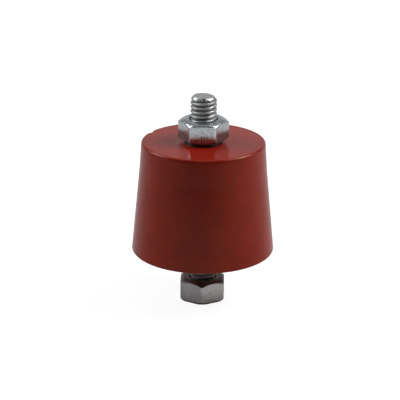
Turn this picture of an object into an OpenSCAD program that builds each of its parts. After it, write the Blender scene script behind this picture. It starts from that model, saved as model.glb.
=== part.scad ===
// Standoff insulator: a moulded truncated cone with a threaded insert in each end,
// a stud screwed into each insert and a hexagon nut on each stud.
// Millimetres, +Z up. The origin is under the middle of the lower nut, on which the part stands.

/* [Moulded body] */
// Height of the moulded body, face to face
body_h = 25.45; // [24:0.05:40]
// Diameter of the wide base
base_d = 32.15; // [30:0.05:40]
// Diameter of the side wall where it meets the top face
top_d = 27.3; // [25:0.1:29]
// How far the moulded rim stands proud of the side wall
rim_proud = 0.16; // [0.1:0.02:0.4]
// Height of the proud rim below the top face
rim_h = 1; // [0.9:0.1:2]
// Height over which the rim fades into the side wall
rim_fade = 1.5; // [0.5:0.1:2.5]
// Rounding of the rim's top edge
rim_edge_r = 0.5; // [0.3:0.05:0.6]
// Rounding of the base edge
base_edge_r = 0.4; // [0.2:0.05:0.8]

/* [Chip in the rim] */
// Direction of the chip seen from above, counted from +X
chip_angle = 151; // [0:1:359]
// Length of the chip along the rim
chip_w = 2.6; // [1.6:0.1:3]
// Depth of the chip below the rim's rounded edge
chip_depth = 0.4; // [0.2:0.05:0.5]

/* [Threaded inserts] */
// Width across the flats of the hexagonal insert
insert_af = 10; // [9:0.5:11]
// Length of an insert
insert_len = 10.2; // [9.8:0.1:11]
// How far an insert's face stands proud of the moulding
insert_proud = 0.5; // [0.2:0.05:0.6]
// Diameter of the round spigot that shows at the face
spigot_d = 8.3; // [7.5:0.1:8.5]
// Depth of the spigot below the moulding's face
spigot_depth = 1.2; // [0.8:0.1:1.6]
// Width of the holding groove around the hexagon
groove_w = 2; // [1.5:0.1:2.5]
// Diameter at the bottom of the holding groove
groove_d = 8.4; // [8:0.1:8.8]
// Depth of the tapped hole
tapped_depth = 8.5; // [8.2:0.1:8.8]
// Diameter of the drill for the tapped hole
drill_d = 5; // [4.8:0.1:5.2]
// Angle of the drill point
drill_point = 118; // [118:1:135]
// Diameter of the countersink at the mouth of the tapped hole
insert_sink_d = 6.4; // [6.1:0.1:7]

/* [Studs] */
// Outside diameter of the studs' thread
thread_d = 5.9; // [5.82:0.01:5.92]
// Pitch diameter of the thread, where a stud meets the nut and the insert it is screwed into
pitch_d = 5.35; // [5.2:0.01:5.4]
// Length of the upper stud
upper_stud_len = 18; // [17:0.5:18.5]
// How far the upper stud stands out of the top face
upper_stud_out = 10.6; // [10:0.05:11]
// Length of the lower stud
lower_stud_len = 19.3; // [18.5:0.1:19.4]
// How far the lower stud's end sits inside the lower nut
lower_stud_recess = 0.3; // [0.1:0.05:0.6]
// Diameter of the flat on a stud's end
stud_flat_d = 4.1; // [3.4:0.1:4.2]
// Length of the stud's tapered end
stud_taper = 1.1; // [0.9:0.1:1.3]
// Rounding between the flat and the taper
stud_round_r = 0.5; // [0.3:0.1:0.5]

/* [Nuts] */
// Width across the flats
nut_af = 9.9; // [9.78:0.01:10]
// Thickness of the upper nut
upper_nut_h = 4.85; // [4.7:0.05:5.2]
// Thickness of the lower nut
lower_nut_h = 5.2; // [4.9:0.05:5.2]
// Diameter of the flat face left inside a chamfer
nut_face_d = 8.8; // [8.7:0.05:9.2]
// Slope of the upper nut's chamfers
upper_chamfer = 30; // [15:1:35]
// Slope of the chamfer on top of the lower nut
lower_chamfer = 35; // [15:1:40]
// Diameter at which the corners of the lower nut's underside are cut off
lower_foot_d = 10.4; // [9.6:0.05:10.6]
// Slope of that cut
lower_foot_slope = 60; // [40:1:65]
// Diameter of the countersink at each face
nut_sink_d = 6.7; // [6.1:0.05:6.75]
// Turn of the upper nut about the axis
upper_nut_turn = -2.5; // [-30:0.5:30]
// Turn of the lower nut about the axis
lower_nut_turn = 28.8; // [-30:0.1:30]
// Clear height between the lower nut and the base of the body
panel_gap = 6.75; // [6.6:0.05:6.9]

/* [Hidden] */
$fn = 96;
slack = 1;
hex_sides = 6;
side_slope = (base_d - top_d) / 2 / body_h;
side_angle = atan(side_slope);
base_z = lower_nut_h + panel_gap;
top_z = base_z + body_h;
upper_nut_z = top_z + insert_proud;
upper_stud_z = top_z + upper_stud_out - upper_stud_len;
drill_tip = drill_d / 2 / tan(drill_point / 2);
hex_len = insert_len - insert_proud - spigot_depth;
groove_z = -spigot_depth - (hex_len + groove_w) / 2;
taper_run = [(thread_d - stud_flat_d) / 2, stud_taper - stud_round_r];
taper_angle = 90 + atan2(taper_run.y, taper_run.x) - acos(stud_round_r / norm(taper_run));
nut_corner_r = nut_af / 2 / cos(30);
nut_sink_depth = (nut_sink_d - pitch_d) / 2;
insert_sink_depth = (insert_sink_d - pitch_d) / 2;
chip_slope = 45;
chip_r = (chip_w * chip_w / 4 + chip_depth * chip_depth) / 2 / chip_depth;

// Radius of the plain tapered side at a height above the base
function side_r(z) = base_d / 2 - z * side_slope;

// Centre of a rounding that touches the side, offset outwards by out, with its middle at height z
function round_centre(z, r, out) = [side_r(z) + out - r / cos(side_angle), z];

// Point where such a rounding meets the side
function round_on_side(centre, r) = centre + r * [cos(side_angle), sin(side_angle)];

// Half section of the body: base edge, tapered side, proud rim, top face
module body_half_section() {
    base_c = round_centre(base_edge_r, base_edge_r, 0);
    rim_c = round_centre(body_h - rim_edge_r, rim_edge_r, rim_proud);
    rim_foot = body_h - rim_h;
    fade_foot = rim_foot - rim_fade;
    union() {
        polygon([
            [0, 0],
            [base_c.x, 0],
            round_on_side(base_c, base_edge_r),
            [side_r(fade_foot), fade_foot],
            [side_r(rim_foot) + rim_proud, rim_foot],
            round_on_side(rim_c, rim_edge_r),
            [rim_c.x, body_h],
            [0, body_h]
        ]);
        translate(base_c) circle(r = base_edge_r);
        translate(rim_c) circle(r = rim_edge_r);
    }
}

// Outside of an insert, standing with its face up and the moulding's face at z = 0
module insert_blank() {
    hex_foot = insert_proud - insert_len;
    difference() {
        union() {
            translate([0, 0, -spigot_depth]) cylinder(d = spigot_d, h = spigot_depth + insert_proud);
            translate([0, 0, hex_foot]) cylinder(d = insert_af / cos(30), h = hex_len, $fn = hex_sides);
        }
        translate([0, 0, groove_z]) difference() {
            cylinder(d = 2 * insert_af, h = groove_w);
            translate([0, 0, -slack]) cylinder(d = groove_d, h = groove_w + 2 * slack);
        }
    }
}

// Insert with its blind tapped hole and the drill's pointed end
module insert() {
    hole_foot = insert_proud - tapped_depth;
    difference() {
        insert_blank();
        translate([0, 0, hole_foot]) cylinder(d = pitch_d, h = tapped_depth + slack);
        translate([0, 0, hole_foot - drill_tip]) cylinder(d1 = 0, d2 = drill_d, h = drill_tip);
        translate([0, 0, insert_proud - insert_sink_depth])
            cylinder(d1 = pitch_d, d2 = insert_sink_d, h = insert_sink_depth);
    }
}

// Half section of one end of a stud: the flat, a rounding of radius stud_round_r, then the taper
module point_half_section() {
    round_c = [stud_flat_d / 2, stud_round_r];
    union() {
        polygon([
            [0, 0],
            round_c - [0, stud_round_r],
            round_c + stud_round_r * [sin(taper_angle), -cos(taper_angle)],
            [thread_d / 2, stud_taper],
            [0, stud_taper]
        ]);
        intersection() {
            translate(round_c) circle(r = stud_round_r);
            square([thread_d, stud_taper]);
        }
    }
}

// Stud: round stock with a rounded point at both ends, at the full thread diameter where it is
// free, from free_foot to free_top, and at the pitch diameter where it is screwed in
module stud(len, free_foot, free_top) {
    rotate_extrude() intersection() {
        union() {
            point_half_section();
            translate([0, stud_taper]) square([thread_d / 2, len - 2 * stud_taper]);
            translate([0, len]) mirror([0, 1]) point_half_section();
        }
        union() {
            square([pitch_d / 2, len]);
            translate([0, free_foot]) square([thread_d / 2, free_top - free_foot]);
        }
    }
}

// Hexagon nut of height h, standing on z = 0 and countersunk at both faces. Its corners are cut off at
// top_slope down to the flat top face, and at foot_slope down to the diameter foot_d underneath
module nut(h, top_slope, foot_d, foot_slope) {
    corner_drop = (nut_corner_r - nut_face_d / 2) * tan(top_slope);
    corner_rise = (nut_corner_r - foot_d / 2) * tan(foot_slope);
    difference() {
        intersection() {
            cylinder(r = nut_corner_r, h = h, $fn = hex_sides);
            rotate_extrude() polygon([
                [0, 0],
                [foot_d / 2, 0],
                [nut_corner_r, corner_rise],
                [nut_corner_r, h - corner_drop],
                [nut_face_d / 2, h],
                [0, h]
            ]);
        }
        translate([0, 0, -slack]) cylinder(d = pitch_d, h = h + 2 * slack);
        cylinder(d1 = nut_sink_d, d2 = pitch_d, h = nut_sink_depth);
        translate([0, 0, h - nut_sink_depth])
            cylinder(d1 = pitch_d, d2 = nut_sink_d, h = nut_sink_depth);
    }
}

// Shallow scoop knocked out of the rim's rounded edge, square to its slope
module chip() {
    rim_c = round_centre(body_h - rim_edge_r, rim_edge_r, rim_proud);
    reach = (rim_edge_r + chip_r - chip_depth) * cos(chip_slope);
    rotate([0, 0, chip_angle]) translate([rim_c.x + reach, 0, rim_c.y + reach]) sphere(r = chip_r);
}

module insulator_body() {
    color([0.47, 0.13, 0.1]) translate([0, 0, base_z]) difference() {
        rotate_extrude() body_half_section();
        translate([0, 0, body_h]) insert_blank();
        rotate([180, 0, 0]) insert_blank();
        chip();
    }
}

module upper_insert() {
    color([0.42, 0.42, 0.41]) translate([0, 0, top_z]) insert();
}

module lower_insert() {
    color([0.42, 0.42, 0.41]) translate([0, 0, base_z]) rotate([180, 0, 0]) insert();
}

module upper_stud() {
    nut_top = upper_nut_z + upper_nut_h - upper_stud_z;
    color([0.72, 0.74, 0.76]) translate([0, 0, upper_stud_z])
        stud(upper_stud_len, nut_top, upper_stud_len);
}

module lower_stud() {
    nut_top = lower_nut_h - lower_stud_recess;
    insert_face = base_z - insert_proud - lower_stud_recess;
    color([0.72, 0.74, 0.76]) translate([0, 0, lower_stud_recess])
        stud(lower_stud_len, nut_top, insert_face);
}

module upper_nut() {
    color([0.74, 0.77, 0.8]) translate([0, 0, upper_nut_z]) rotate([0, 0, upper_nut_turn])
        nut(upper_nut_h, upper_chamfer, nut_face_d, upper_chamfer);
}

module lower_nut() {
    color([0.74, 0.75, 0.77]) rotate([0, 0, lower_nut_turn])
        nut(lower_nut_h, lower_chamfer, lower_foot_d, lower_foot_slope);
}

insulator_body();
upper_insert();
lower_insert();
upper_stud();
lower_stud();
upper_nut();
lower_nut();
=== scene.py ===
# %% [markdown]
# A small red standoff insulator, dressed for its portrait. On the real object a cone of filled red resin
# is pressed hot around two threaded bushes, and a zinc plated stud with a hexagon nut is screwed into
# each end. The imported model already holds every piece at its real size. This lesson reads those sizes,
# makes finer meshes over the same forms, gives each one its finish, and sets up the floor, the lamps and
# the camera.

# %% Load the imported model
import math

import bpy
import numpy as np
from mathutils import Matrix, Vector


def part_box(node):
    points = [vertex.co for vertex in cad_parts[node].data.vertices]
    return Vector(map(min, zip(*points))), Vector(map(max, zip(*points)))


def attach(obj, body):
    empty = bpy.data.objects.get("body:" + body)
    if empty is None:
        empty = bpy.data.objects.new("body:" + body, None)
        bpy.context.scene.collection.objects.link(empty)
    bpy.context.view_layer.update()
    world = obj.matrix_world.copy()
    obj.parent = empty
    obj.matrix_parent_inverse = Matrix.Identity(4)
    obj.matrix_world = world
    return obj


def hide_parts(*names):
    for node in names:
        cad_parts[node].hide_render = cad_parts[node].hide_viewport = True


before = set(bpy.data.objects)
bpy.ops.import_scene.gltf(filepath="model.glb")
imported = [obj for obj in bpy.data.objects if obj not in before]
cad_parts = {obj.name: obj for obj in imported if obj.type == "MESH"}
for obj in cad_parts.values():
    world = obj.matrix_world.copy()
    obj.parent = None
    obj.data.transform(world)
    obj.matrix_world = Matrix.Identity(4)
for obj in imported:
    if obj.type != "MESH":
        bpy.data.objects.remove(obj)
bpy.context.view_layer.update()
MM = 0.001
print("nodes:", sorted(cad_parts))

# %% [markdown]
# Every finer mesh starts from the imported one, so that it lands in the same place. The sizes could all be
# written out again, but those that are measured here follow the model when it changes. The pieces are
# round or hexagonal about the Z axis. A box gives the heights, and the vertices give the radii and a
# nut's turn.

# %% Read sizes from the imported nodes
CORNER_NEAR = 0.001 * MM


def node_points(node):
    """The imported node's points, and how far each lies from the axis."""
    points = np.array([v.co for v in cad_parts[node].data.vertices], float)
    return points, np.hypot(points[:, 0], points[:, 1])


def node_heights(node):
    low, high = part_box(node)
    return low.z, high.z


def node_radius(node):
    return float(node_points(node)[1].max())


def corner_angle(node):
    """The direction of one corner of a hexagon, seen from the axis."""
    points, reach = node_points(node)
    corners = points[reach > reach.max() - CORNER_NEAR]
    return math.atan2(corners[0, 1], corners[0, 0])


BODY_FOOT, BODY_TOP = node_heights("insulator_body")
BODY_H = BODY_TOP - BODY_FOOT
THREAD_R = node_radius("upper_stud")
NUT_CORNER_R = node_radius("upper_nut")
NUT_FLAT_R = NUT_CORNER_R * math.cos(math.pi / 6)
print("body", BODY_FOOT, BODY_TOP, "thread radius", THREAD_R, "nut flat to axis", NUT_FLAT_R)

# %% [markdown]
# Turned, moulded and threaded pieces are all stacks of rings. A ring is a row of points round the axis,
# and each row is joined to the next with four-sided faces. A flat cap closes each end, or the last row is
# joined to the first, which leaves a solid with no holes. Modifiers could spin a profile round the axis
# too. Rows made by formula were chosen because a thread or a hexagon is then only a ring whose radius
# changes with the angle.

# %% Build a solid from rings
def ring_angles(columns):
    return np.arange(columns) * (2 * math.pi / columns)


def ring(angles, radius, z):
    radius = np.broadcast_to(radius, angles.shape)
    height = np.broadcast_to(z, angles.shape)
    return np.stack([radius * np.cos(angles), radius * np.sin(angles), height], 1)


def solid_from_rings(name, rings, joined_ends=False):
    """Faces look away from the axis where the rings climb, and towards it where they go down.
    joined_ends closes a tube on itself, and otherwise each end has a flat cap."""
    columns = len(rings[0])
    points = np.concatenate(rings)
    here = np.arange(columns)
    after = (here + 1) % columns
    faces = []
    last = len(rings) if joined_ends else len(rings) - 1
    for row in range(last):
        low = row * columns
        high = (row + 1) % len(rings) * columns
        faces += np.stack([low + here, low + after, high + after, high + here], 1).tolist()
    if not joined_ends:
        faces.append(here[::-1].tolist())
        faces.append(((len(rings) - 1) * columns + here).tolist())
    mesh = bpy.data.meshes.new(name)
    mesh.from_pydata(points.tolist(), [], faces)
    mesh.validate()
    mesh.shade_smooth()
    piece = bpy.data.objects.new(name, mesh)
    bpy.context.scene.collection.objects.link(piece)
    print(name, len(points), "points", len(faces), "faces")
    return piece


# %% [markdown]
# No moulded or formed edge is perfectly sharp. A bevel modifier rounds every edge alike, but here each
# corner needs its own rounding. So a half section is written as a few corners, and this helper replaces
# each of them with an arc. Two extra points just outside each arc keep the flat faces beside it flat when
# they are shaded smoothly.

# %% Round the corners of a half section
ARC_STEP = math.radians(9)
GUARD = 0.35
GUARD_MOST = 0.2 * MM


def unit(vector):
    return vector / np.linalg.norm(vector)


def arc(middle, start, end, steps):
    """The points of the arc about the middle, from its start to its end."""
    first, final = start - middle, end - middle
    sweep = math.atan2(first[0] * final[1] - first[1] * final[0], first @ final)
    points = []
    for k in range(steps + 1):
        turn = sweep * k / steps
        spin = np.array([[math.cos(turn), -math.sin(turn)], [math.sin(turn), math.cos(turn)]])
        points.append(middle + spin @ first)
    return points


def rounded(corners):
    """corners is a list of (radius, height, rounding). Returns the points of the rounded outline."""
    outline = []
    for i, (r, z, rounding) in enumerate(corners):
        here = np.array([r, z])
        if rounding == 0 or i in (0, len(corners) - 1):
            outline.append(here)
            continue
        before = np.array(corners[i - 1][:2]) - here
        after = np.array(corners[i + 1][:2]) - here
        to_before, to_after = unit(before), unit(after)
        half = math.acos(np.clip(to_before @ to_after, -1, 1)) / 2
        reach = rounding / math.tan(half)
        start, end = here + to_before * reach, here + to_after * reach
        middle = here + unit(to_before + to_after) * rounding / math.sin(half)
        steps = max(2, math.ceil((math.pi - 2 * half) / ARC_STEP))
        free_before = np.linalg.norm(before) - reach
        free_after = np.linalg.norm(after) - reach
        outline.append(start + to_before * min(rounding * GUARD, GUARD_MOST, free_before / 2))
        outline += arc(middle, start, end, steps)
        outline.append(end + to_after * min(rounding * GUARD, GUARD_MOST, free_after / 2))
    return outline


def filled_in(outline, longest):
    """Adds points along stretches longer than that, so that faces stay small enough to shade well."""
    result = [outline[0]]
    for a, b in zip(outline, outline[1:]):
        count = max(1, math.ceil(np.linalg.norm(b - a) / longest))
        result += [a + (b - a) * k / count for k in range(1, count + 1)]
    return result


# %% [markdown]
# The camera stands a little under 40 cm away and looks down by about 20 degrees, with a long lens. It
# could be placed by eye, but a fitted camera lets each piece be compared with the photo at its true size,
# so these values were fitted to the outline of the cone there. The moulding leans a touch to the right
# while the studs stand nearly straight, so the camera is rolled by an angle between the two.

# %% Camera
VIEW_DOWN = math.radians(20.04)
VIEW_ROLL = math.radians(-0.42)
VIEW_DISTANCE = 384 * MM
SENSOR_MM = 36
LENS_MM = 153.6
AIM_RIGHT = 0.68 * MM
AIM_UP = 1.175 * MM
CLIP_NEAR, CLIP_FAR = 1 * MM, 20


def placing(x_axis, y_axis, z_axis, place):
    """The matrix of an object whose three axes and place are given."""
    columns = np.stack([x_axis, y_axis, z_axis, place], 1)
    return Matrix([*columns.tolist(), [0, 0, 0, 1]])


def add_camera():
    data = bpy.data.cameras.new("camera")
    data.sensor_width = SENSOR_MM
    data.lens = LENS_MM
    data.clip_start, data.clip_end = CLIP_NEAR, CLIP_FAR
    camera = bpy.data.objects.new("camera", data)
    bpy.context.scene.collection.objects.link(camera)
    forward = np.array([0, math.cos(VIEW_DOWN), -math.sin(VIEW_DOWN)])
    level = np.array([1.0, 0, 0])
    upright = np.cross(level, forward)
    right = math.cos(VIEW_ROLL) * level - math.sin(VIEW_ROLL) * upright
    up = math.sin(VIEW_ROLL) * level + math.cos(VIEW_ROLL) * upright
    middle = np.array([0, 0, (BODY_FOOT + BODY_TOP) / 2])
    place = middle - VIEW_DISTANCE * forward - AIM_RIGHT * right - AIM_UP * up
    camera.matrix_world = placing(right, up, -forward, place)
    bpy.context.scene.camera = camera
    print("camera at", place.round(4))


add_camera()
bpy.context.scene.view_settings.view_transform = "Standard"

# %% [markdown]
# A material is a small graph of nodes. It could be drawn by hand in the shader editor, but a script says
# why each node is there. These helpers keep the graphs short: one adds a node and sets its values, and
# the rest wrap the few nodes that every finish here needs.

# %% Node helpers
MOST_OF_NOISE = (0.3, 0.7)


def new_material(name):
    material = bpy.data.materials.new(name)
    material.use_nodes = True
    material.node_tree.nodes.clear()
    return material, material.node_tree


def add_node(tree, kind, inputs=None, **settings):
    node = tree.nodes.new(kind)
    for key, value in settings.items():
        setattr(node, key, value)
    for key, value in (inputs or {}).items():
        if isinstance(value, bpy.types.NodeSocket):
            tree.links.new(value, node.inputs[key])
        else:
            node.inputs[key].default_value = value
    return node


def maths(tree, operation, a, b=0.0):
    return add_node(tree, "ShaderNodeMath", {0: a, 1: b}, operation=operation).outputs[0]


def times(tree, a, b):
    return maths(tree, "MULTIPLY", a, b)


def remap(tree, value, span, result=(0, 1), smooth=False):
    """While the value runs through its span, the result runs between its own two ends, and it stops there."""
    node = add_node(tree, "ShaderNodeMapRange", dict(enumerate((value, *span, *result))))
    node.interpolation_type = "SMOOTHSTEP" if smooth else "LINEAR"
    return node.outputs[0]


def from_level(level, span):
    """A span of heights or distances that is counted from a level."""
    return level + span[0], level + span[1]


def blend_colour(tree, share, a, b):
    """Colour a where the share is 0 and colour b where it is 1."""
    mix = add_node(tree, "ShaderNodeMix", {"Factor": share}, data_type="RGBA")
    for socket, value in ((mix.inputs[6], a), (mix.inputs[7], b)):
        if isinstance(value, bpy.types.NodeSocket):
            tree.links.new(value, socket)
        else:
            socket.default_value = (*value, 1)
    return mix.outputs[2]


def shaded(tree, colour, share):
    """The colour, taken down to that share of itself."""
    return blend_colour(tree, share, (0, 0, 0), colour)


# %% [markdown]
# Places are read in metres from a mesh's own origin, which is the middle of the lower nut's foot in all
# the meshes made here. A noise is written down as its scale, its detail and its roughness, and a scale of
# 1000 gives waves about a millimetre long. A bump is a strength and a distance. Every finish ends in the
# same shader, so one helper closes the graph.

# %% Places, noises and the shader
def object_place(tree):
    return add_node(tree, "ShaderNodeTexCoord").outputs["Object"]


def axes(tree, place):
    """The parts of a place or a direction along X, Y and Z."""
    return list(add_node(tree, "ShaderNodeSeparateXYZ", {0: place}).outputs)


def stretched(tree, place, scale):
    return add_node(tree, "ShaderNodeMapping", {"Vector": place, "Scale": scale}).outputs[0]


def axis_distance(tree, place):
    flat_place = stretched(tree, place, (1, 1, 0))
    return add_node(tree, "ShaderNodeVectorMath", {0: flat_place}, operation="LENGTH").outputs["Value"]


def noise(tree, place, kind):
    scale, detail, roughness = kind
    inputs = {"Vector": place, "Scale": scale, "Detail": detail, "Roughness": roughness}
    return add_node(tree, "ShaderNodeTexNoise", inputs).outputs[0]


def bumped(tree, height, bump):
    strength, distance = bump
    inputs = {"Height": height, "Strength": strength, "Distance": distance}
    return add_node(tree, "ShaderNodeBump", inputs).outputs[0]


def finished(material, colour, gloss, normal, fixed):
    """Closes the graph. fixed holds the shader's values that are the same all over the piece."""
    tree = material.node_tree
    inputs = {"Base Color": colour, "Roughness": gloss, "Normal": normal, **fixed}
    shader = add_node(tree, "ShaderNodeBsdfPrincipled", inputs)
    add_node(tree, "ShaderNodeOutputMaterial", {"Surface": shader.outputs[0]})
    print("finish", material.name, len(tree.nodes), "nodes")
    return material


# %% [markdown]
# The table is a wide pale floor. To the camera most of its brightness is its own, so it stays white
# behind the object, and the rest is lit by the lamps, so that the object keeps a soft shadow on it.
# Brighter lamps could make it white too, but they would bleach the red. A Light Path node tells the rays
# apart. Light that spreads from the floor on to the object is weaker in front. A mirror sees a floor with
# a tint of its own: palest in a strip before the object, greyer from there on and at both sides, and dark
# past the table's front edge, because the red side mirrors the dark part of the studio there. Behind the
# object it sees a little of the white too.

# %% Floor
FLOOR_SIZE = 6
FLOOR_TINT, FLOOR_FRONT_TINT, FRONT_EDGE = 0.7, 0.38, (-0.06, 0.0)
FLOOR_SEEN_TINT = (0.2, 0.2, 0.2, 1)
FLOOR_OWN_LIGHT = 0.87
MIRRORED_WHITE, WHITE_STARTS = 0.08, (0.03, 0.1)
TABLE_EDGE, TABLE_TINT, BEYOND_TINT = (-0.195, -0.165), 0.62, 0.11
NEAR_EDGE, NEAR_TINT = (-0.09, -0.03), 0.44
LEFT_EDGE, LEFT_SHARE = (-0.1, -0.05), 0.88
RIGHT_EDGE, RIGHT_SHARE = (0.05, 0.1), 0.9


def mirror_rays(tree, rays):
    """1 for the rays that a metal or a glass sends out, and 0 for the others."""
    return maths(tree, "MAXIMUM", rays["Is Glossy Ray"], rays["Is Transmission Ray"])


def mirrored_tint(tree, side, depth):
    """How pale the floor is to a mirror."""
    table = remap(tree, depth, TABLE_EDGE, (BEYOND_TINT, TABLE_TINT), smooth=True)
    tint = maths(tree, "MINIMUM", table, remap(tree, depth, NEAR_EDGE, (TABLE_TINT, NEAR_TINT)))
    tint = times(tree, tint, remap(tree, side, LEFT_EDGE, (LEFT_SHARE, 1)))
    return times(tree, tint, remap(tree, side, RIGHT_EDGE, (1, RIGHT_SHARE)))


def floor_material():
    material, tree = new_material("pale_floor")
    rays = add_node(tree, "ShaderNodeLightPath").outputs
    mirrored = mirror_rays(tree, rays)
    side, depth, _ = axes(tree, object_place(tree))
    white_share = times(tree, mirrored, remap(tree, depth, WHITE_STARTS, (0, MIRRORED_WHITE)))
    white_share = maths(tree, "MAXIMUM", rays["Is Camera Ray"], white_share)
    spread_tint = remap(tree, depth, FRONT_EDGE, (FLOOR_FRONT_TINT, FLOOR_TINT), smooth=True)
    tint = remap(tree, mirrored, (0, 1), (spread_tint, mirrored_tint(tree, side, depth)))
    plain = add_node(tree, "ShaderNodeBsdfDiffuse", {"Color": tint}).outputs[0]
    lit = add_node(tree, "ShaderNodeBsdfDiffuse", {"Color": FLOOR_SEEN_TINT}).outputs[0]
    own = add_node(tree, "ShaderNodeEmission", {"Strength": FLOOR_OWN_LIGHT}).outputs[0]
    pale = add_node(tree, "ShaderNodeAddShader", {0: lit, 1: own}).outputs[0]
    both = add_node(tree, "ShaderNodeMixShader", {0: white_share, 1: plain, 2: pale}).outputs[0]
    add_node(tree, "ShaderNodeOutputMaterial", {"Surface": both})
    return material


def add_floor():
    half = FLOOR_SIZE / 2
    corners = [(-half, -half, 0), (half, -half, 0), (half, half, 0), (-half, half, 0)]
    mesh = bpy.data.meshes.new("floor")
    mesh.from_pydata(corners, [], [(0, 1, 2, 3)])
    mesh.materials.append(floor_material())
    floor = bpy.data.objects.new("floor", mesh)
    bpy.context.scene.collection.objects.link(floor)
    print("floor", FLOOR_SIZE, "m wide")


add_floor()

# %% [markdown]
# Shiny plating shows its surroundings, so the studio matters as much as the finish. One lamp or a sky
# picture would light the object too, but soft panels can be placed one by one where the metal needs them.
# Two square ones hang high at the left and the right, a little behind the object, and light the top and
# both sides. Two smaller ones nearer the front lift the shade there. Two small ones behind are the white
# corners of the upper nut, and a strip above the front brightens the crests of the thread. The camera's
# own side stays dark, which draws the dark lines along the nut's edges and down the middle of the studs.

# %% Lamps
HEART = np.array([0, 0, 0.025])
WHITE, COOL_WHITE, WARM_WHITE = (1, 1, 1), (0.97, 0.985, 1), (1, 0.99, 0.97)
LAMPS = {
    # place, width and height of the panel, power, colour
    "left_panel": ((-0.4815, 0.1204, 0.3621), (0.3, 0.3), 2.35, COOL_WHITE),
    "right_panel": ((0.4326, 0.03, 0.4396), (0.3, 0.3), 3.6, WARM_WHITE),
    "left_front": ((-0.27, -0.1, 0.553), (0.14, 0.14), 0.17, WHITE),
    "right_front": ((0.34, -0.17, 0.489), (0.16, 0.16), 0.08, WHITE),
    "left_glint": ((-0.222, 0.156, 0.559), (0.07, 0.07), 0.05, WHITE),
    "right_glint": ((0.212, 0.144, 0.567), (0.07, 0.07), 0.075, WHITE),
    "top_front": ((0, -0.18, 0.595), (0.25, 0.1), 0.063, WHITE),
}


def add_panel(name, place, size, power, colour):
    """A soft panel that faces the heart of the object."""
    data = bpy.data.lights.new(name, "AREA")
    data.shape = "RECTANGLE"
    data.size, data.size_y = size
    data.energy = power
    data.color = colour
    lamp = bpy.data.objects.new(name, data)
    back = unit(np.array(place) - HEART)
    across = unit(np.cross([0, 0, 1.0], back))
    lamp.matrix_world = placing(across, np.cross(back, across), back, place)
    lamp.visible_camera = False
    bpy.context.scene.collection.objects.link(lamp)
    print(name, "at", place, "power", power)


for lamp_name, lamp_values in LAMPS.items():
    add_panel(lamp_name, *lamp_values)

# %% [markdown]
# The rest of the room is a soft grey that grows darker downwards and on the camera's side, with a paler
# backdrop low behind the object. Walls could be modelled, but the world's colour does it with no
# geometry. The camera sees plain white there, in any view that looks above the floor, and the metal sees
# a little of that white behind the object, as it does on the floor.

# %% Room
ROOM_COLOUR = (0.97, 0.98, 1, 1)
SKY_SPAN, SKY_LEVELS = (0.1, 0.7), (0.11, 0.31)
DARK_SIDE, DARK_SHARE = (-0.8, -0.2), 0.1
BEHIND = (0.6, 0.85)
BACKDROP_TOP, BACKDROP_LEVEL = (0.335, 0.37), 0.505


def add_room():
    world = bpy.data.worlds.new("room")
    bpy.context.scene.world = world
    world.use_nodes = True
    tree = world.node_tree
    tree.nodes.clear()
    direction = add_node(tree, "ShaderNodeTexCoord").outputs["Generated"]
    _, depth, height = axes(tree, direction)
    sky = remap(tree, height, SKY_SPAN, SKY_LEVELS)
    sky = times(tree, sky, remap(tree, depth, DARK_SIDE, (DARK_SHARE, 1)))
    behind = remap(tree, depth, BEHIND, smooth=True)
    backdrop = times(tree, behind, remap(tree, height, BACKDROP_TOP, (BACKDROP_LEVEL, 0), smooth=True))
    level = maths(tree, "MAXIMUM", sky, backdrop)
    room = add_node(tree, "ShaderNodeBackground", {"Color": ROOM_COLOUR, "Strength": level}).outputs[0]
    white = add_node(tree, "ShaderNodeBackground", {"Color": (1, 1, 1, 1), "Strength": 1.0}).outputs[0]
    rays = add_node(tree, "ShaderNodeLightPath").outputs
    mirrored = times(tree, mirror_rays(tree, rays), times(tree, behind, MIRRORED_WHITE))
    white_share = maths(tree, "MAXIMUM", rays["Is Camera Ray"], mirrored)
    both = add_node(tree, "ShaderNodeMixShader", {0: white_share, 1: room, 2: white}).outputs[0]
    add_node(tree, "ShaderNodeOutputWorld", {"Surface": both})
    print("room, sky levels", SKY_LEVELS, "backdrop level", BACKDROP_LEVEL)


add_room()

# %% [markdown]
# The moulding is glass filled polyester resin, pressed in a polished mould. Its skin is a deep brick red
# with a semi-gloss, with soft clouds a few millimetres wide where the filler lies nearer the surface, and
# a fine pale grain in them. A scanned picture could show both, but noise in the object's own space has no
# seams on a cone. Clouds and grain are in the colour, and both are in a tiny bump that softens the
# reflections. A third noise, between them in size, varies the gloss. The tint on the specular keeps the
# sheen warm.

# %% Red moulding
RED = (0.208, 0.0110, 0.0049)
RED_PALE = (0.230, 0.0138, 0.0068)
RED_DEEP = (0.178, 0.0087, 0.0037)
CLOUDS, CLOUD_SPAN, CLOUD_HEIGHT = (240, 3, 0.55), (0.35, 0.65), 0.4
GRAIN, GRAIN_SPAN, GRAIN_MOST, GRAIN_HEIGHT = (1800, 2, 0.6), (0.45, 0.75), 0.5, 0.05
SHEEN, RED_GLOSS = (420, 2, 0.5), (0.2, 0.25)
RED_BUMP = (0.1, 0.05 * MM)
RED_SHADER = {"IOR": 1.36, "Specular Tint": (1, 0.8, 0.58, 1)}


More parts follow.
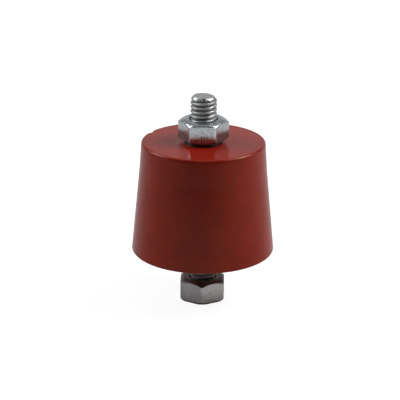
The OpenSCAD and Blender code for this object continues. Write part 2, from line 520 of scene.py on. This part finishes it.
def red_moulding():
    material, tree = new_material("red_moulding")
    place = object_place(tree)
    clouds, grain, sheen = (noise(tree, place, kind) for kind in (CLOUDS, GRAIN, SHEEN))
    colour = blend_colour(tree, remap(tree, clouds, CLOUD_SPAN), RED_DEEP, RED)
    colour = blend_colour(tree, remap(tree, grain, GRAIN_SPAN, (0, GRAIN_MOST)), colour, RED_PALE)
    gloss = remap(tree, sheen, MOST_OF_NOISE, RED_GLOSS)
    skin = maths(tree, "ADD", times(tree, clouds, CLOUD_HEIGHT), times(tree, grain, GRAIN_HEIGHT))
    return finished(material, colour, gloss, bumped(tree, skin, RED_BUMP), RED_SHADER)


# %% [markdown]
# Zinc plating is a thin crystal layer over steel. Seen close it is not a mirror: it is mottled from grain
# to grain and duller in patches, and the upper nut's is slightly blue, with dull spots. The nuts were
# cold formed, so faint upright drag lines run over their flats. Painting all this by hand on an unwrapped
# nut would take long and end at its seams, so noises do it, and one that is stretched upwards makes the
# drag lines.

# %% Zinc on the nuts
UPPER_ZINC, UPPER_ZINC_DULL = (0.86, 0.92, 0.965), (0.725, 0.77, 0.815)
LOWER_ZINC, LOWER_ZINC_DULL = (0.79, 0.785, 0.79), (0.68, 0.675, 0.685)
CRYSTALS, CRYSTAL_SPAN, CRYSTAL_DULL = (2600, 3, 0.65), (0.35, 0.55), 0.8
DRAG, DRAG_STRETCH = (3200, 2, 0.6), (1, 1, 0.12)
PATCHES, PATCH_SHARE, DRAG_SHARE = (520, 3, 0.6), 0.6, 0.4
CLEAR_SPAN = (0.38, 0.62)
SPOTS, SPOT_SPAN, SPOT_DULL = (1400, 2, 0.5), (0.38, 0.6), 0.72


def nut_plating(tree, place, upper, crystals, drag):
    """The mottled colour. upper is 1 on the upper nut and 0 on the lower one."""
    patches = times(tree, noise(tree, place, PATCHES), PATCH_SHARE)
    clear = remap(tree, maths(tree, "ADD", patches, times(tree, drag, DRAG_SHARE)), CLEAR_SPAN)
    spots = remap(tree, noise(tree, place, SPOTS), SPOT_SPAN, (SPOT_DULL, 1))
    upper_zinc = shaded(tree, blend_colour(tree, clear, UPPER_ZINC_DULL, UPPER_ZINC), spots)
    lower_zinc = blend_colour(tree, clear, LOWER_ZINC_DULL, LOWER_ZINC)
    colour = blend_colour(tree, upper, lower_zinc, upper_zinc)
    return shaded(tree, colour, remap(tree, crystals, CRYSTAL_SPAN, (CRYSTAL_DULL, 1)))


# %% [markdown]
# Three short dark strokes stand side by side on the front flat of the upper nut. They say nothing. They
# could be cut into the mesh, but they are hardly wider than its faces, so the material makes them: a wave
# across the flat, kept inside a small window. The bump presses them in.

# %% Strokes on the front flat
FRONT_FLAT = (-4.6 * MM, -4.3 * MM)
MARK_BLACK = (0.01, 0.01, 0.01)
MARK_RIGHT, MARK_UP = 0.17 * MM, 1.8 * MM
MARK_STEP = 0.57 * MM
MARK_SIDES, MARK_ENDS = (0.75 * MM, 0.975 * MM), (0.24 * MM, 0.34 * MM)
MARK_SPAN = (0.2, 0.5)


def nut_marks(tree, side, height, in_front):
    aside = maths(tree, "ABSOLUTE", maths(tree, "SUBTRACT", side, MARK_RIGHT))
    middle = node_heights("upper_nut")[0] + MARK_UP
    above = maths(tree, "ABSOLUTE", maths(tree, "SUBTRACT", height, middle))
    window = times(tree, remap(tree, aside, MARK_SIDES, (1, 0)), remap(tree, above, MARK_ENDS, (1, 0)))
    wave = maths(tree, "COSINE", times(tree, aside, 2 * math.pi / MARK_STEP))
    return times(tree, times(tree, window, in_front), remap(tree, wave, MARK_SPAN))


# %% [markdown]
# Painted shade darkens parts of the upper nut where its reflections should fall darker: the foot of each
# flat, higher up on the side flats than on the front one, the side flats as a whole, and the top face. Each
# of these is a share of the colour that changes with the height, which is simpler than a painted mask.

# %% Painted shade on the upper nut
LOW_FLAT, PAINTED_FLAT_SHADE, SIDES_HIGHER = (0.9 * MM, 1.5 * MM), 0.63, 1.15 * MM
FACE_EDGE, PAINTED_FACE_SHADE = (-0.45 * MM, -0.3 * MM), 0.8
SIDE_TOP, PAINTED_SIDE_SHADE = (-0.9 * MM, -0.6 * MM), 0.86


def upper_nut_painted_shades(tree, height, in_front, lower):
    """Three shares of the colour, each a painted shade: for the feet of the flats, the top face, and the side
    flats.
    """
    foot, face = node_heights("upper_nut")
    risen = maths(tree, "SUBTRACT", height, foot)
    risen = maths(tree, "ADD", risen, remap(tree, in_front, (0, 1), (-SIDES_HIGHER, 0)))
    flat_shade = maths(tree, "MAXIMUM", remap(tree, risen, LOW_FLAT, (PAINTED_FLAT_SHADE, 1)), lower)
    face_shade = remap(tree, height, from_level(face, FACE_EDGE), (1, PAINTED_FACE_SHADE))
    side_shade = remap(tree, height, from_level(face, SIDE_TOP), (PAINTED_SIDE_SHADE, 1))
    side_shade = maths(tree, "MAXIMUM", side_shade, maths(tree, "MAXIMUM", in_front, lower))
    return flat_shade, face_shade, side_shade


# %% [markdown]
# The lower nut carries painted shade: its colour is darkened round its foot, most at the bottom, and on
# its turned top, which lies in the shade of the moulding. The turned top is also made rougher. A mask could
# be painted for it, but a formula finds the top just as well: its face is flat out to a radius and falls
# away as a cone from there, and whatever lies close to those two is on it.

# %% Painted shade on the lower nut
FOOT_SHADE_TOP, FOOT_SHADE = (0.2 * MM, 0.6 * MM), 0.42
FADE_SPAN, FOOT_SHADE_FADE = (0.5 * MM, 3.5 * MM), 0.86
CONE_START_R, CONE_SLOPE = 4.4 * MM, math.radians(35)
CONE_NEAR, CONE_SHADE, CONE_ROUGHER = (-0.16 * MM, -0.04 * MM), 0.32, 0.22


# Painted shade round the foot of the lower nut, darkest at the bottom.
def painted_foot_shade(tree, height):
    shade_share = remap(tree, height, FOOT_SHADE_TOP, (FOOT_SHADE, 1))
    return times(tree, shade_share, remap(tree, height, FADE_SPAN, (FOOT_SHADE_FADE, 1)))


def on_turned_top(tree, reach, height, lower):
    """1 on the face and the cone at the top of the lower nut, and 0 elsewhere."""
    past_face = maths(tree, "MAXIMUM", maths(tree, "SUBTRACT", reach, CONE_START_R), 0.0)
    fallen = times(tree, past_face, math.tan(CONE_SLOPE))
    below_face = maths(tree, "SUBTRACT", height, node_heights("lower_nut")[1])
    return times(tree, remap(tree, maths(tree, "ADD", below_face, fallen), CONE_NEAR), lower)


# %% [markdown]
# Here the nuts' finish is put together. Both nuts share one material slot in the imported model, so one
# material serves both, and the height tells it which nut it is on. Two materials would be plainer but
# would break that link. The countersink of the bore is dark, because little light gets into it.

# %% Put the nuts' finish together
BETWEEN_NUTS = (10 * MM, 11 * MM)
SINK_R, SINK_EDGE, SINK_DULL = 3.35 * MM, (-0.1 * MM, 0), (0.10, 0.10, 0.11)
NUT_GLOSS, DRAG_HEIGHT = (0.15, 0.24), 0.8
NUT_BUMP = (0.15, 0.01 * MM)
NUT_SHADER = {"Metallic": 0.95}


def nut_zinc():
    material, tree = new_material("nut_zinc")
    place = object_place(tree)
    side, depth, height = axes(tree, place)
    reach = axis_distance(tree, place)
    upper = remap(tree, height, BETWEEN_NUTS)
    lower = maths(tree, "SUBTRACT", 1.0, upper)
    in_front = remap(tree, depth, FRONT_FLAT, (1, 0))
    crystals = noise(tree, place, CRYSTALS)
    drag = noise(tree, stretched(tree, place, DRAG_STRETCH), DRAG)
    colour = nut_plating(tree, place, upper, crystals, drag)
    colour = blend_colour(tree, remap(tree, reach, from_level(SINK_R, SINK_EDGE)), SINK_DULL, colour)
    marks = nut_marks(tree, side, height, in_front)
    colour = blend_colour(tree, marks, colour, MARK_BLACK)
    # painted shade on the feet of the flats, the top face and the side flats of the upper nut
    for shade in upper_nut_painted_shades(tree, height, in_front, lower):
        colour = shaded(tree, colour, shade)
    turned = on_turned_top(tree, reach, height, lower)
    # painted shade on the lower nut's turned top and round its foot
    top_shade = remap(tree, turned, (0, 1), (1, CONE_SHADE))
    colour = shaded(tree, colour, maths(tree, "MINIMUM", painted_foot_shade(tree, height), top_shade))
    gloss = remap(tree, crystals, MOST_OF_NOISE, NUT_GLOSS)
    gloss = maths(tree, "ADD", gloss, times(tree, turned, CONE_ROUGHER))
    skin = maths(tree, "ADD", crystals, times(tree, drag, DRAG_HEIGHT))
    skin = maths(tree, "SUBTRACT", skin, marks)
    return finished(material, colour, gloss, bumped(tree, skin, NUT_BUMP), NUT_SHADER)


# %% [markdown]
# The studs carry a rolled thread with the same plating. The roots are painted darker than the crests,
# as painted shade in the grooves. Baked cavity shading could find the roots, but here the distance from
# the axis tells them apart. Painted shade darkens the thread towards its left and right sides, the flat
# end is painted brighter as painted light on the top, and a nick under it is painted dark as shade in
# the dent. The lower stud is in the shade of the cone and darker all over.

# %% Zinc on the studs
STUD_ZINC, STUD_ROOT_SHADE = (0.495, 0.505, 0.515), (0.32, 0.32, 0.31)
STUD_SHADED, STUD_END_LIT = (0.28, 0.27, 0.25), (0.585, 0.595, 0.605)
THREAD_DEPTH, CREST_NEAR = 0.55 * MM, 0.1 * MM
STUD_CRYSTALS, STUD_CRYSTAL_SPAN, STUD_CRYSTAL_DULL = (2400, 3, 0.65), (0.35, 0.6), 0.45
THREAD_SIDES, THREAD_SIDE_SHADE = (0.9 * MM, 2 * MM), 0.74
POINT_CORNER_R = 2.35 * MM
END_LEAN, END_EDGE = 0.047, (-0.2 * MM, -0.05 * MM)
NICK_BELOW, NICK_IN = 0.4 * MM, 0.45 * MM
NICK_SPAN, NICK_SHADE = (0.25 * MM, 0.5 * MM), (0.07, 0.07, 0.065)
STUD_GLOSS = (0.34, 0.46)
STUD_BUMP = (0.15, 0.015 * MM)
ALL_METAL = {"Metallic": 1.0}


def on_stud_end(tree, side, height):
    """1 on the flat end of the upper stud, which leans down to the right."""
    levelled = maths(tree, "ADD", height, times(tree, side, END_LEAN))
    end_level = node_heights("upper_stud")[1] - END_LEAN * POINT_CORNER_R
    return remap(tree, levelled, from_level(end_level, END_EDGE))


def nick_distance(tree, place):
    nick = (0, -THREAD_R + NICK_IN, node_heights("upper_stud")[1] - NICK_BELOW)
    return add_node(tree, "ShaderNodeVectorMath", {0: place, 1: nick}, operation="DISTANCE").outputs["Value"]


def stud_zinc():
    material, tree = new_material("stud_zinc")
    place = object_place(tree)
    side, _, height = axes(tree, place)
    crystals = noise(tree, place, STUD_CRYSTALS)
    crest = remap(tree, axis_distance(tree, place), (THREAD_R - THREAD_DEPTH, THREAD_R - CREST_NEAR))
    at_end = on_stud_end(tree, side, height)
    worn = remap(tree, crystals, STUD_CRYSTAL_SPAN, (STUD_CRYSTAL_DULL, 1))
    bright = times(tree, maths(tree, "MAXIMUM", crest, at_end), worn)
    # crests against roots: the darker roots are painted shade
    colour = blend_colour(tree, bright, STUD_ROOT_SHADE, STUD_ZINC)
    aside = maths(tree, "ABSOLUTE", side)
    # painted shade towards the left and right sides of the thread
    colour = shaded(tree, colour, remap(tree, aside, THREAD_SIDES, (1, THREAD_SIDE_SHADE)))
    colour = blend_colour(tree, remap(tree, height, (BODY_FOOT, BODY_TOP)), STUD_SHADED, colour)
    # the flat end is painted brighter, a painted light on the top
    colour = blend_colour(tree, at_end, colour, STUD_END_LIT)
    # the nick is painted dark, a painted shade in the dent
    colour = blend_colour(tree, remap(tree, nick_distance(tree, place), NICK_SPAN), NICK_SHADE, colour)
    gloss = remap(tree, crystals, MOST_OF_NOISE, STUD_GLOSS)
    return finished(material, colour, gloss, bumped(tree, crystals, STUD_BUMP), ALL_METAL)


# %% [markdown]
# The bushes that hold the studs are turned from plated steel bar. Only a thin ring of each one stands out
# of the moulding, in the shadow of the nut. Their colour is set dark, partly the steel's own tone and partly
# painted shade for the gap under the nut. Turning leaves fine circles. They could be real grooves in
# the mesh, but nobody would see their depth, so a noise of the distance from the axis changes the gloss
# and a tiny bump instead.

# %% Steel on the bushes
# dark steel colours, partly painted shade for the gap under the nut
SHADED_STEEL, SHADED_STEEL_TARNISH = (0.26, 0.26, 0.255), (0.15, 0.15, 0.145)
TARNISH, TARNISH_SPAN = (600, 3, 0.5), (0.35, 0.65)
CIRCLES_PER_METRE = 9000
STEEL_GLOSS = (0.3, 0.45)
STEEL_BUMP = (0.2, 0.01 * MM)


def turned_circles(tree, place):
    across = times(tree, axis_distance(tree, place), CIRCLES_PER_METRE)
    inputs = {"W": across, "Scale": 1.0}
    return add_node(tree, "ShaderNodeTexNoise", inputs, noise_dimensions="1D").outputs[0]


def insert_steel():
    material, tree = new_material("insert_steel")
    place = object_place(tree)
    circles = turned_circles(tree, place)
    tarnish = remap(tree, noise(tree, place, TARNISH), TARNISH_SPAN)
    colour = blend_colour(tree, tarnish, SHADED_STEEL_TARNISH, SHADED_STEEL)
    gloss = remap(tree, circles, MOST_OF_NOISE, STEEL_GLOSS)
    return finished(material, colour, gloss, bumped(tree, circles, STEEL_BUMP), ALL_METAL)


# %% [markdown]
# Each finish is made once and named for the material slot that it fills in the imported model. A piece
# could be dressed in its own section every time, but one helper can't forget a step: it gives the piece
# its finish, lets it move with the model's one body, and hides the imported node that it stands for.

# %% Make the finishes
FINISHES = {
    "red_moulding": red_moulding(),
    "nut_zinc": nut_zinc(),
    "stud_zinc": stud_zinc(),
    "insert_steel": insert_steel(),
}


def dress(piece, slot, node):
    piece.data.materials.clear()
    piece.data.materials.append(FINISHES[slot])
    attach(piece, "root")
    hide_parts(node)


# %% [markdown]
# The bushes sit in hexagonal pockets of the moulding, with a groove that locks them in place. A skin
# without pockets would look the same, but then the cone wouldn't be the whole solid, so the mesh follows
# them too. Each pocket is a stack of rings with a few steps in radius, and the same rings serve both
# ends.

# %% Pockets of the cone
HEXAGON_SLICE = math.pi / 3
INSERT_FLAT_R = 5 * MM
SPIGOT_R, SPIGOT_DEPTH = 4.15 * MM, 1.2 * MM
GROOVE_R = 4.2 * MM
GROOVE_LOW, GROOVE_HIGH = 6.45 * MM, 4.45 * MM
POCKET_DEPTH = 9.7 * MM


def from_flat(angles, turn=0.0):
    """Angle to the middle of the nearest flat of a hexagon that has a corner at the turn."""
    return (angles - turn) % HEXAGON_SLICE - HEXAGON_SLICE / 2


def pocket_rings(angles, face, inward):
    """The pocket of one bush, from its bottom out to the moulding's face. inward is +1 up, -1 down."""
    hexed = INSERT_FLAT_R / np.cos(from_flat(angles))
    stops = [
        (POCKET_DEPTH, hexed),
        (GROOVE_LOW, hexed),
        (GROOVE_LOW, GROOVE_R),
        (GROOVE_HIGH, GROOVE_R),
        (GROOVE_HIGH, hexed),
        (SPIGOT_DEPTH, hexed),
        (SPIGOT_DEPTH, SPIGOT_R),
        (0, SPIGOT_R),
    ]
    return [ring(angles, radius, face + inward * depth) for depth, radius in stops]


# %% [markdown]
# The skin of the cone leans in by about five and a half degrees, so that it can leave the mould. A low
# rim stands a hair proud of it round the top edge and fades slowly into the side below. It could be
# sculpted, but a half section of a few corners with large roundings gives the same soft swell and keeps
# its sizes readable.

# %% Skin of the cone
BASE_R, SIDE_TOP_R = 16.075 * MM, 13.65 * MM
BASE_EDGE, RIM_EDGE = 0.4 * MM, 0.5 * MM
RIM_H, RIM_PROUD = 1.0 * MM, 0.16 * MM
RIM_FADE = 5.5 * MM
FADE_ROUND, RIM_ROUND = 20 * MM, 3 * MM
BODY_STEP = 0.6 * MM


def side_radius(height):
    return BASE_R - (BASE_R - SIDE_TOP_R) * height / BODY_H


def body_outline():
    """Half section of the skin, from the lower pocket's mouth round the outside to the upper pocket's."""
    rim_foot = BODY_H - RIM_H
    fade_foot = rim_foot - RIM_FADE
    corners = [
        (SPIGOT_R, 0, 0),
        (side_radius(0), 0, BASE_EDGE),
        (side_radius(fade_foot), fade_foot, FADE_ROUND),
        (side_radius(rim_foot) + RIM_PROUD, rim_foot, RIM_ROUND),
        (side_radius(BODY_H) + RIM_PROUD, BODY_H, RIM_EDGE),
        (SPIGOT_R, BODY_H, 0),
    ]
    return filled_in(rounded(corners), BODY_STEP)


# %% [markdown]
# A small chip is broken out of the top edge, at the back on the left. A boolean with a ball would cut it,
# but would leave ragged faces round it. Here the points that lie inside the ball are pressed out to its
# surface, which keeps the rings whole. The ball's radius follows from the chip's width and depth.

# %% Chip in the top edge
CHIP_ANGLE = math.radians(151)
CHIP_WIDTH, CHIP_DEPTH = 2.6 * MM, 0.4 * MM


def ball_radius(width, depth):
    """Radius of the ball that leaves a dent of this width and depth."""
    return (width**2 / 4 + depth**2) / 2 / depth


def pressed_in(points, centre, size):
    """Presses the points inside a ball out to its surface."""
    away = points - centre
    far = np.linalg.norm(away, axis=1)
    inside = (far < size)[:, None]
    return np.where(inside, centre + away / far[:, None] * size, points)


def with_chip(points):
    """The ball presses on the rounded top edge from halfway between outwards and upwards."""
    size = ball_radius(CHIP_WIDTH, CHIP_DEPTH)
    lean = math.atan((BASE_R - SIDE_TOP_R) / BODY_H)
    edge_r = side_radius(BODY_H - RIM_EDGE) + RIM_PROUD - RIM_EDGE / math.cos(lean)
    reach = (RIM_EDGE + size - CHIP_DEPTH) * math.cos(math.pi / 4)
    out = edge_r + reach
    up = BODY_TOP - RIM_EDGE + reach
    centre = np.array([out * math.cos(CHIP_ANGLE), out * math.sin(CHIP_ANGLE), up])
    return pressed_in(points, centre, size)


# %% [markdown]
# The cone is one moulding: lower pocket, skin and upper pocket follow each other as one stack of rings.
# Three meshes joined afterwards would need their seams welded, and one stack has none.

# %% Moulded cone
BODY_COLUMNS = 432


def moulded_cone():
    angles = ring_angles(BODY_COLUMNS)
    rings = pocket_rings(angles, BODY_FOOT, +1)
    rings += [ring(angles, r, BODY_FOOT + z) for r, z in body_outline()[1:]]
    rings += pocket_rings(angles, BODY_TOP, -1)[::-1][1:]
    piece = solid_from_rings("moulded_cone", [with_chip(row) for row in rings])
    dress(piece, "red_moulding", "insulator_body")


moulded_cone()

# %% [markdown]
# A metric M6 thread climbs one millimetre a turn. A screw modifier could sweep its profile, but would
# leave open ends. The form is a triangle wave with its crest and root rounded off, and it is the same all
# round: going once round the axis moves it up by one pitch. So the radius at any point follows from its
# height and its angle, and the helix needs no sweep. Three waves round the axis, a few hundredths of a
# millimetre high, are the wear.

# %% The thread's form
PITCH = 1 * MM
THREAD_START = 0.88
CREST_SHARE, ROOT_SHARE = 0.26, 0.1
FLANK_STRAIGHT, FLANK_SOFT = 0.55, 0.45
WEAR, WEAR_MEAN = 0.02 * MM, 0.8
WEAR_WAVES = (
    # waves round the axis, how they turn along it, strength
    (5, 2.1, 1),
    (11, -3.7, 0.7),
    (29, 8.3, 0.5),
)


def thread_radius(angles, z):
    """Radius of the thread's surface. A crest lies THREAD_START pitches up at the +X side."""
    turn = (z / PITCH - THREAD_START - angles / (2 * math.pi)) % 1
    from_crest = np.minimum(turn, 1 - turn)
    flank = (from_crest - CREST_SHARE / 2) / (0.5 - (CREST_SHARE + ROOT_SHARE) / 2)
    slope = np.clip(flank, 0, 1)
    soft = slope * slope * (3 - 2 * slope)
    wear = 0
    for waves, along, strength in WEAR_WAVES:
        wear = wear + np.sin(waves * angles + along * z / PITCH) * strength
    return THREAD_R - THREAD_DEPTH * (FLANK_STRAIGHT * slope + FLANK_SOFT * soft) + WEAR * (wear - WEAR_MEAN)


def soft_least(a, b, width):
    """The smaller of two lengths, with the change from one to the other rounded over that width."""
    share = np.clip(0.5 + (b - a) / (2 * width), 0, 1)
    return b + (a - b) * share - width * share * (1 - share)


# %% [markdown]
# A stud is a length of threaded bar with a rounded point. The point cuts the last crests away. A boolean
# would do that with a hard edge, so at each height the surface is whichever lies nearer the axis, the
# thread or the point, and the line where they meet is rounded as rolling rounds it. The upper stud has
# been knocked about: its flat end leans down to the right, and there is a nick under its front edge.

# %% The studs' ends
POINT_LENGTH = 1.1 * MM
POINT_FLAT_R = 0.3 * MM
POINT_ROUND, POINT_FOOT_ROUND = 0.5 * MM, 0.4 * MM
POINT_FOOT = 0.5 * MM
POINT_STEP = 0.08 * MM
NICK_WIDTH, NICK_DEPTH = 0.8 * MM, 0.2 * MM


def stud_point():
    """Half section of one end, from near the axis to the full diameter. Heights count from the end."""
    corners = [
        (POINT_FLAT_R, 0, 0),
        (POINT_CORNER_R, 0, POINT_ROUND),
        (THREAD_R, POINT_LENGTH, POINT_FOOT_ROUND),
        (THREAD_R, POINT_LENGTH + POINT_FOOT, 0),
    ]
    return filled_in(rounded(corners), POINT_STEP)


def leaned(points, high, lean):
    """The end's flat leans down towards +X, and the lean fades out at the foot of the point."""
    share = np.clip((points[:, 2] - high + POINT_LENGTH) / POINT_LENGTH, 0, 1)
    points[:, 2] -= share * lean * (points[:, 0] + POINT_CORNER_R)
    return points


def nicked(points, high):
    """A small nick at the front of the end, just under its flat."""
    size = ball_radius(NICK_WIDTH, NICK_DEPTH)
    outward = unit(np.array([0, -POINT_LENGTH, THREAD_R - POINT_CORNER_R]))
    skin_r = POINT_CORNER_R + (THREAD_R - POINT_CORNER_R) * NICK_BELOW / POINT_LENGTH
    centre = np.array([0, -skin_r, high - NICK_BELOW]) + outward * (size - NICK_DEPTH)
    return pressed_in(points, centre, size)


# %% [markdown]
# The two studs are the same bar cut to two lengths, so one function makes both from the heights of their
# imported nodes. Two hand-made meshes would drift apart. Fourteen rows to a turn of the thread keep its
# crests round in the picture, and more would only make the file heavier.

# %% Threaded studs
STUD_COLUMNS = 240
ROWS_PER_TURN = 14
POINT_BLEND = 0.08 * MM


def threaded_stud(name, node, end_lean=0.0, has_nick=False):
    low, high = node_heights(node)
    angles = ring_angles(STUD_COLUMNS)
    point = stud_point()
    bottom = [(r, low + z) for r, z in point]
    top = [(r, high - z) for r, z in point[::-1]]
    first, last = bottom[-1][1], top[0][1]
    count = round((last - first) / PITCH * ROWS_PER_TURN)
    shank = [(THREAD_R, first + (last - first) * k / count) for k in range(1, count)]
    rings = []
    for limit, z in bottom + shank + top:
        row = ring(angles, soft_least(thread_radius(angles, z), limit, POINT_BLEND), z)
        row = leaned(row, high, end_lean)
        rings.append(nicked(row, high) if has_nick else row)
    dress(solid_from_rings(name, rings), "stud_zinc", node)


threaded_stud("threaded_stud_upper", "upper_stud", end_lean=END_LEAN, has_nick=True)
threaded_stud("threaded_stud_lower", "lower_stud")

# %% [markdown]
# A nut starts as a hexagon whose ends are turned to a cone. Where the cone meets a flat it leaves the
# curved line that everyone knows from real nuts. A boolean of the two would be hard and ragged there, so
# each ring takes whichever of them lies nearer the axis, and rounds the change as forming and plating
# leave it. An end is written as the radius of its face, the slope of its cone and the rounding between
# them. The upper nut is domed at both ends. The lower one has a plainer cone at its top and a steep
# narrow cut round its foot.

# %% The nuts' ends
DOMED_END = (4.667 * MM, math.radians(35.9), 3.6 * MM)
CONE_END = (CONE_START_R, CONE_SLOPE, 1.0 * MM)
CUT_END = (5.2 * MM, math.radians(60), 0.12 * MM)
FLAT_EDGE = 0.12 * MM
PAST_CORNER = 0.9 * MM
NUT_STEP = 0.06 * MM
ON_FACE = 1e-9


def end_outline(face_r, slope, rounding):
    """Half section of an end, from the countersink out past the corners. Heights count from the face."""
    far_r = NUT_CORNER_R + PAST_CORNER
    corners = [(SINK_R, 0, 0), (face_r, 0, rounding), (far_r, (far_r - face_r) * math.tan(slope), 0)]
    return filled_in(rounded(corners), NUT_STEP)


def end_rows(hexed, end, edge_round):
    """Radii and heights of an end. The face reaches to its own edge or to the flats, whichever is nearer."""
    outline = end_outline(*end)
    flat_end = max(r for r, z in outline if z < ON_FACE)
    rows = []
    for r, z in outline:
        inset = FLAT_EDGE - math.sqrt(FLAT_EDGE**2 - (FLAT_EDGE - min(z, FLAT_EDGE)) ** 2)
        if z < ON_FACE:
            edge = soft_least(flat_end, hexed - FLAT_EDGE, edge_round)
            rows.append((SINK_R + (edge - SINK_R) * (r - SINK_R) / (flat_end - SINK_R), 0.0))
        else:
            rows.append((soft_least(r, hexed - inset, edge_round), z))
    return rows


# %% [markdown]
# The outside of a nut runs up the hexagon, and the inside runs back down the bore, which has a
# countersink at each end and the matching thread between them. The bore could be cut out afterwards, but
# as part of the same stack of rings it joins both faces, and the nut is one closed tube. The upper edge
# of the upper nut is worn, most of all over the middle of each flat, and the nut sits 1.2 degrees out of
# true, tipped to the back. That is a shear of its outside, small enough to look like a turn.

# %% Hexagon nuts
NUT_COLUMNS = 288
NUT_MINOR_R = 2.5 * MM
CORNER_ROUND = 0.03
EDGE_ROUND = 0.12 * MM
WORN_AT_FLAT, WORN_AT_CORNER = 0.6 * MM, 0.02 * MM
THREAD_PLAY = 0.03 * MM
NUT_LEAN = 0.021


def soft_hexagon(angles, flat_r, turn):
    """A hexagon with its six corners slightly rounded."""
    off_flat = from_flat(angles, turn)
    near, far = np.cos(off_flat), np.cos(HEXAGON_SLICE - abs(off_flat))
    share = np.clip(0.5 + (near - far) / (2 * CORNER_ROUND), 0, 1)
    return flat_r / (far + (near - far) * share + CORNER_ROUND * share * (1 - share))


def bore_rings(angles, low, height):
    """The countersinks and the thread between them, from the top down."""
    rows = round(height / PITCH * ROWS_PER_TURN)
    rings = []
    for k in range(1, rows):
        z = height * (1 - k / rows)
        sink = SINK_R - min(z, height - z)
        bore = np.maximum(thread_radius(angles, low + z) + THREAD_PLAY, NUT_MINOR_R)
        rings.append(ring(angles, np.maximum(bore, sink), low + z))
    return rings


def hexagon_nut(name, node, foot, top, at_flat=EDGE_ROUND, at_corner=EDGE_ROUND, lean=0.0):
    """at_flat and at_corner are the rounding of the upper edge over the middle of a flat and at a corner."""
    low, high = node_heights(node)
    angles = ring_angles(NUT_COLUMNS)
    hexed = soft_hexagon(angles, NUT_FLAT_R, corner_angle(node))
    to_corner = np.clip((hexed - NUT_FLAT_R) / (NUT_CORNER_R - NUT_FLAT_R), 0, 1)
    top_round = at_flat + (at_corner - at_flat) * to_corner
    rings = [ring(angles, r, low + z) for r, z in end_rows(hexed, foot, EDGE_ROUND)]
    rings += [ring(angles, r, high - z) for r, z in end_rows(hexed, top, top_round)[::-1]]
    for row in rings:
        row[:, 1] += lean * (row[:, 2] - (low + high) / 2)
    rings += bore_rings(angles, low, high - low)
    dress(solid_from_rings(name, rings, joined_ends=True), "nut_zinc", node)


hexagon_nut("hexagon_nut_upper", "upper_nut", DOMED_END, DOMED_END, WORN_AT_FLAT, WORN_AT_CORNER, NUT_LEAN)
hexagon_nut("hexagon_nut_lower", "lower_nut", CUT_END, CONE_END)

# %% [markdown]
# The bushes are almost wholly hidden, and their packed form is right as it is. Finer copies of them could
# be made as well, but nobody would see the difference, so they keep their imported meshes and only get
# their finish.

# %% Finish the bushes
for bush in ("upper_insert", "lower_insert"):
    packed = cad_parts[bush]
    packed.data.materials.clear()
    packed.data.materials.append(FINISHES["insert_steel"])
    print(bush, "keeps its packed mesh")
